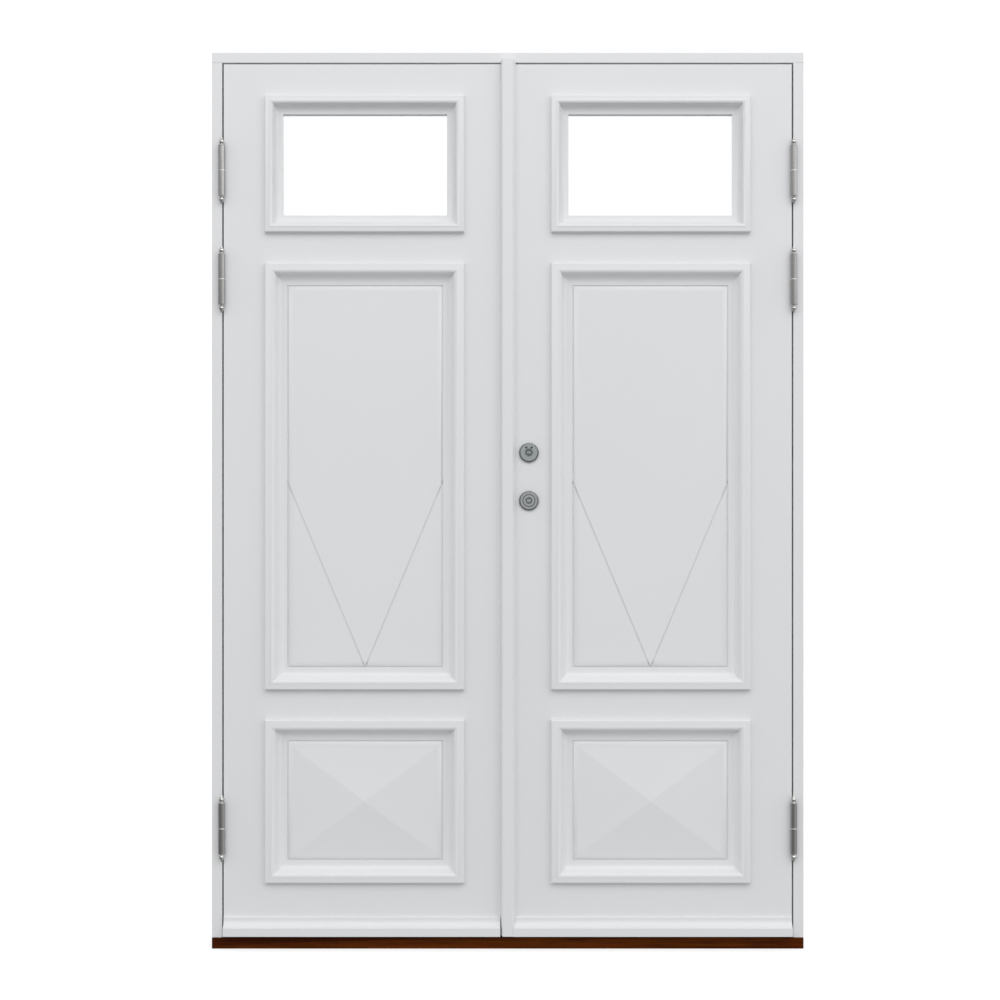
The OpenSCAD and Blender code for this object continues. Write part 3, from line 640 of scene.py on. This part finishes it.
jambY = jambLow.y + hingePlate["behindFace"]
leafY = leafFront + hingePlate["behindFace"]
faceX = jambHigh.x - hingePlate["jambSide"]
screwSet("jamb_plate_screws", "frame_hinge_screws", [(-faceX, jambY, 1), (faceX, jambY, -1)], "frame")
screwSet("left_plate_screws", "left_hinge_screws", [(-leafEdge, leafY, -1)], "left_leaf")
screwSet("right_plate_screws", "right_hinge_screws", [(leafEdge, leafY, 1)], "right_leaf")
print("screws driven")


# lock: discs with rounded rims, bodies, cores with keyways and thumb turns
lockX = sum(c.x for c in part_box("upper_core")) / 2
upperZ = sum(c.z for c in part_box("upper_core")) / 2
lowerZ = sum(c.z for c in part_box("lower_core")) / 2
# painted shade by radius for each lock: dark in the recess round the core, in the grooves and at the rim
upperShadeSteps = [(0, 0.18), (4.4, 0.18), (4.9, 0.85), (7.3, 0.85), (7.9, 0.3), (8.9, 0.6),
              (9.8, 0.2), (18.0, 0.12), (19.6, 0.35), (20.4, 0.8), (22.8, 0.85)]
lowerShadeSteps = [(0, 0.05), (4.2, 0.05), (4.9, 0.85), (7.0, 0.85), (7.7, 0.05), (8.9, 0.3), (9.8, 0.0),
              (12.4, 0.05), (13.2, 0.85), (14.6, 0.85), (15.4, 0.05), (19.4, 0.15), (20.4, 0.8), (22.8, 0.85)]
upperSteel = brushedRings("lock_upper", (0.675, 0.72, 0.73), 0.27, lockX, upperZ, upperShadeSteps)
lowerSteel = brushedRings("lock_lower", (0.69, 0.72, 0.725), 0.29, lockX, lowerZ, lowerShadeSteps)
# near-black steel put on the faces inside the two holes above the upper core, as painted shade in the holes
paintedHoleShade = platedSteel("lock_hole_painted_shade", (0.035, 0.035, 0.036), 0.5, (300, 300, 300))
lockHole = dict(aside=0.0062, above=0.0112, radius=0.00242)
lockEase = dict(rim=1.9, rimRadius=0.0222, hole=0.35, core=0.4, turn=2.2,
                discFace=0.005, flangeFace=0.004, turnFace=0.012, turnEdge=0.004)


def isUpper(point):
    return point.z > (upperZ + lowerZ) / 2


def outerRim(edge):
    a, b = (v.co for v in edge.verts)
    middle = upperZ if isUpper(a) else lowerZ
    return all(math.hypot(p.x - lockX, p.z - middle) > lockEase["rimRadius"] for p in (a, b))


def frontRim(edge):
    return outerRim(edge) and edge.verts[0].co.y < leafFront - lockEase["discFace"]


def backRim(edge):
    return outerRim(edge) and edge.verts[0].co.y > leafBack + lockEase["flangeFace"]


def turnEdge(edge):
    proud = all(v.co.y > leafBack + lockEase["turnFace"] for v in edge.verts)
    return proud and edge.calc_length() > lockEase["turnEdge"]


bm = mergedCopy("lock_discs")
softenEdges(bm, lockEase["rim"], frontRim, segments=5, sharp=40)
softenEdges(bm, lockEase["hole"], lambda e: not outerRim(e), sharp=60)
for face in bm.faces:
    spot = face.calc_center_median()
    face.material_index = 0 if isUpper(spot) else 1
    aside = abs(spot.x - lockX) - lockHole["aside"]
    above = spot.z - upperZ - lockHole["above"]
    # faces within the holes get the painted shade
    if math.hypot(aside, above) < lockHole["radius"]:
        face.material_index = 2
discs = finishPiece("lock_discs_rounded", bm, upperSteel, "right_leaf", ["lock_discs"], smooth=40)
discs.data.materials.append(lowerSteel)
discs.data.materials.append(paintedHoleShade)

bm = mergedCopy("lock_bodies")
softenEdges(bm, lockEase["rim"], backRim, segments=4, sharp=40)
for face in bm.faces:
    face.material_index = 0 if isUpper(face.calc_center_median()) else 1
bodies = finishPiece("lock_bodies_rounded", bm, upperSteel, "right_leaf", ["lock_bodies"], smooth=40)
bodies.data.materials.append(lowerSteel)

for node, metal in (("upper_core", upperSteel), ("lower_core", lowerSteel)):
    bm = mergedCopy(node)
    softenEdges(bm, lockEase["turn"], turnEdge, segments=4, sharp=60)
    softenEdges(bm, lockEase["core"], lambda e: e.verts[0].co.y < leafFront, sharp=60)
    finishPiece(node + "_turned", bm, metal, bodyOf[node], [node], smooth=40)

plateEase = dict(edge=0.5, bolt=1.0)
for node in ("lock_case", "strike_plate", "bolt_plates", "bolt_keepers"):
    easedPiece(node, fittingSteel, plateEase["edge"], sharp=50)
for node in ("latch_bolt", "dead_bolt", "top_bolt", "bottom_bolt"):
    easedPiece(node, fittingSteel, plateEase["bolt"], segments=3, sharp=50, smooth=40)
print("lock and bolts eased")


# rubber seals: a rounded bulb on a barbed tongue
seal = dict(half=4.0, tongue=1.35, barb=1.5, step=15, stopGap=0.004, endGap=0.0003)


def sealOutline(high, deep):
    s = seal
    bulb = [(s["half"] * math.cos(t), high * math.sin(t)) for t in arc(0, 180, s["step"])]
    bulb[0], bulb[-1] = (s["half"], 0.0), (-s["half"], 0.0)
    barbs = [(-s["tongue"] * 0.7, 0), (-s["tongue"] * 0.7, -deep * 0.25), (-s["barb"], -deep * 0.3),
             (-s["tongue"] * 0.6, -deep * 0.6), (-s["barb"], -deep * 0.66), (-s["tongue"] * 0.4, -deep)]
    return bulb + barbs + [(-a, b) for a, b in reversed(barbs)]


stopFace = leafBack + seal["stopGap"]
sealLow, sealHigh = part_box("frame_seals")
outline = sealOutline((stopFace - sealLow.y) / mm, (sealHigh.y - stopFace) / mm)
half = seal["half"] * mm
bm = bmesh.new()
for x in (half - sealHigh.x, sealHigh.x - half):
    section = [(x + a * mm, stopFace - b * mm, sealLow.z) for a, b in outline]
    extruded(bm, section, (0, 0, sealHigh.z - sealLow.z))
reach = jambLow.x - seal["endGap"]
for z in (sealLow.z + half, sealHigh.z - half):
    extruded(bm, [(-reach, stopFace - b * mm, z + a * mm) for a, b in outline], (2 * reach, 0, 0))
finishPiece("frame_seal_bulbs", bm, paleRubber, "frame", ["frame_seals"],
            smooth=40, weighted=False)

# the lip between the leaves: a rounded nose on a flat tongue
low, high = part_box("meeting_seal")
lipPress = 0.35
lipWide = (high.x - meetLeft) / mm + lipPress
lipMiddle = (low.y + high.y) / 2
lipHalf = (high.y - low.y) / 2 / mm
lipTongue = [(0, 0.9), (-4.9, 0.7), (-4.9, -0.7), (0, -0.9)]
lip = [(0, -lipHalf), (lipWide - 0.6, -lipHalf), (lipWide - 0.2, 0.25 - lipHalf), (lipWide, 0.7 - lipHalf),
       (lipWide, lipHalf * 0.2), (lipWide * 0.9, lipHalf * 0.7), (lipWide * 0.55, lipHalf), (0, lipHalf)]
lip += lipTongue
bm = bmesh.new()
extruded(bm, [(meetLeft + a * mm, lipMiddle + b * mm, low.z) for a, b in lip], (0, 0, high.z - low.z))
finishPiece("meeting_seal_lip", bm, paleRubber, "left_leaf", ["meeting_seal"],
            smooth=40, weighted=False)
print("seals drawn")


# glass and its spacers
glazingEase = dict(pane=0.6, spacer=0.5)
for side in ("left", "right"):
    easedPiece(f"{side}_panes", paneGlass, glazingEase["pane"], sharp=50, smooth=30)
    easedPiece(f"{side}_spacer", spacerBar, glazingEase["spacer"], sharp=50, smooth=30)
print("glass set")


# studio: white surround, soft light from above the front and a little from the right;
# the gloss values grade what the metal mirrors: from left to right, upwards and behind the door
studio = dict(ambientHigh=0.51, ambientLow=0.342, horizon=(-0.25, 0.45), sides=1.5, sideways=0.06,
              rear=0.3, rearSpan=(0.0, 0.6), backdrop=1.08, gloss=0.6, glossSides=0.5,
              glossLow=0.95, glossHigh=1.8, glossSpan=(0.0, 0.25), glossBehind=0.5, behindSpan=(-0.3, 0.6),
              keyPower=560, keySize=(16, 7), keyPlace=(0.8, -7.8, 7.3), keyAim=(0, 0, 1.0))

world = bpy.data.worlds.new("studio")
bpy.context.scene.world = world
world.use_nodes = True
w = Finish(world.node_tree)
rayKind = w.node("ShaderNodeLightPath").socket.node.outputs
direction = w.node("ShaderNodeTexCoord", None, None, "Generated")
across, along, upward = w.split(direction)
climbing = w.step(upward, *studio["horizon"])
ambient = studio["ambientLow"] + climbing * (studio["ambientHigh"] - studio["ambientLow"])
ambient = ambient * (1 + w.step(along, *studio["rearSpan"]) * studio["rear"])
shine = Wire(w, rayKind["Is Glossy Ray"])
lean = studio["sideways"] + shine * (studio["gloss"] - studio["sideways"])
mirrored = w.step(upward, *studio["glossSpan"]) * (studio["glossHigh"] - studio["glossLow"])
behind = w.step(along, *studio["behindSpan"]) * (1 - studio["glossBehind"])
mirrored = (studio["glossLow"] + mirrored) * (1 - behind)
sides = studio["sides"] + shine * (studio["glossSides"] - studio["sides"])
ambient = ambient * (1 + across * lean + across * across * sides) * (1 + shine * (mirrored - 1))
seen = w.clamp(Wire(w, rayKind["Is Camera Ray"]) + Wire(w, rayKind["Is Transmission Ray"]))
strength = ambient + seen * (studio["backdrop"] - ambient)
background = w.node("ShaderNodeBackground", None,
                    {"Color": (0.985, 0.993, 1.0, 1), "Strength": strength})
w.node("ShaderNodeOutputWorld", None, {"Surface": background})

key = bpy.data.lights.new("key", "AREA")
key.shape = "RECTANGLE"
key.size, key.size_y = studio["keySize"]
key.energy = studio["keyPower"]
keyLamp = bpy.data.objects.new("key", key)
keyLamp.location = studio["keyPlace"]
aim = Vector(studio["keyAim"]) - Vector(studio["keyPlace"])
keyLamp.rotation_euler = aim.to_track_quat("-Z", "Y").to_euler()
keyLamp.visible_camera = False
bpy.context.scene.collection.objects.link(keyLamp)

# pale floor just under the threshold
ground = dict(half=9, drop=0.0006, dull=(0.36, 0.36, 0.36, 1), light=(0.38, 0.38, 0.38, 1), glow=0.72)
paleFloor, f = newFinish("pale_floor")
patch = f.noise(f.place(), 3, 3, 0.5)
f.shade({
    "Base Color": f.blend(patch, ground["dull"], ground["light"]),
    "Roughness": f.clamp(0.8 + (patch - 0.5) * 0.1),
    "Specular IOR Level": 0.1,
    "Emission Color": (1, 1, 1, 1),
    "Emission Strength": ground["glow"],
})
bm = bmesh.new()
bmesh.ops.create_grid(bm, x_segments=8, y_segments=8, size=ground["half"])
bmesh.ops.translate(bm, vec=(0, 0, -ground["drop"]), verts=bm.verts[:])
floorMesh = bpy.data.meshes.new("floor")
bm.to_mesh(floorMesh)
bm.free()
floorMesh.materials.append(paleFloor)
floor = bpy.data.objects.new("floor", floorMesh)
bpy.context.scene.collection.objects.link(floor)
floor.visible_diffuse = False
floor.visible_glossy = False

# camera square on to the door, at the height of its middle
shot = dict(distance=4.2, x=-0.018, z=1.0464, span=2.3316, sensor=36.0)
camera = bpy.data.cameras.new("camera")
camera.sensor_width = shot["sensor"]
camera.lens = shot["sensor"] * shot["distance"] / shot["span"]
cameraObject = bpy.data.objects.new("camera", camera)
cameraObject.location = (shot["x"], leafFront - shot["distance"], shot["z"])
cameraObject.rotation_euler = (math.radians(90), 0, 0)
bpy.context.scene.collection.objects.link(cameraObject)
bpy.context.scene.camera = cameraObject
bpy.context.scene.view_settings.view_transform = "Standard"
print("studio lit")
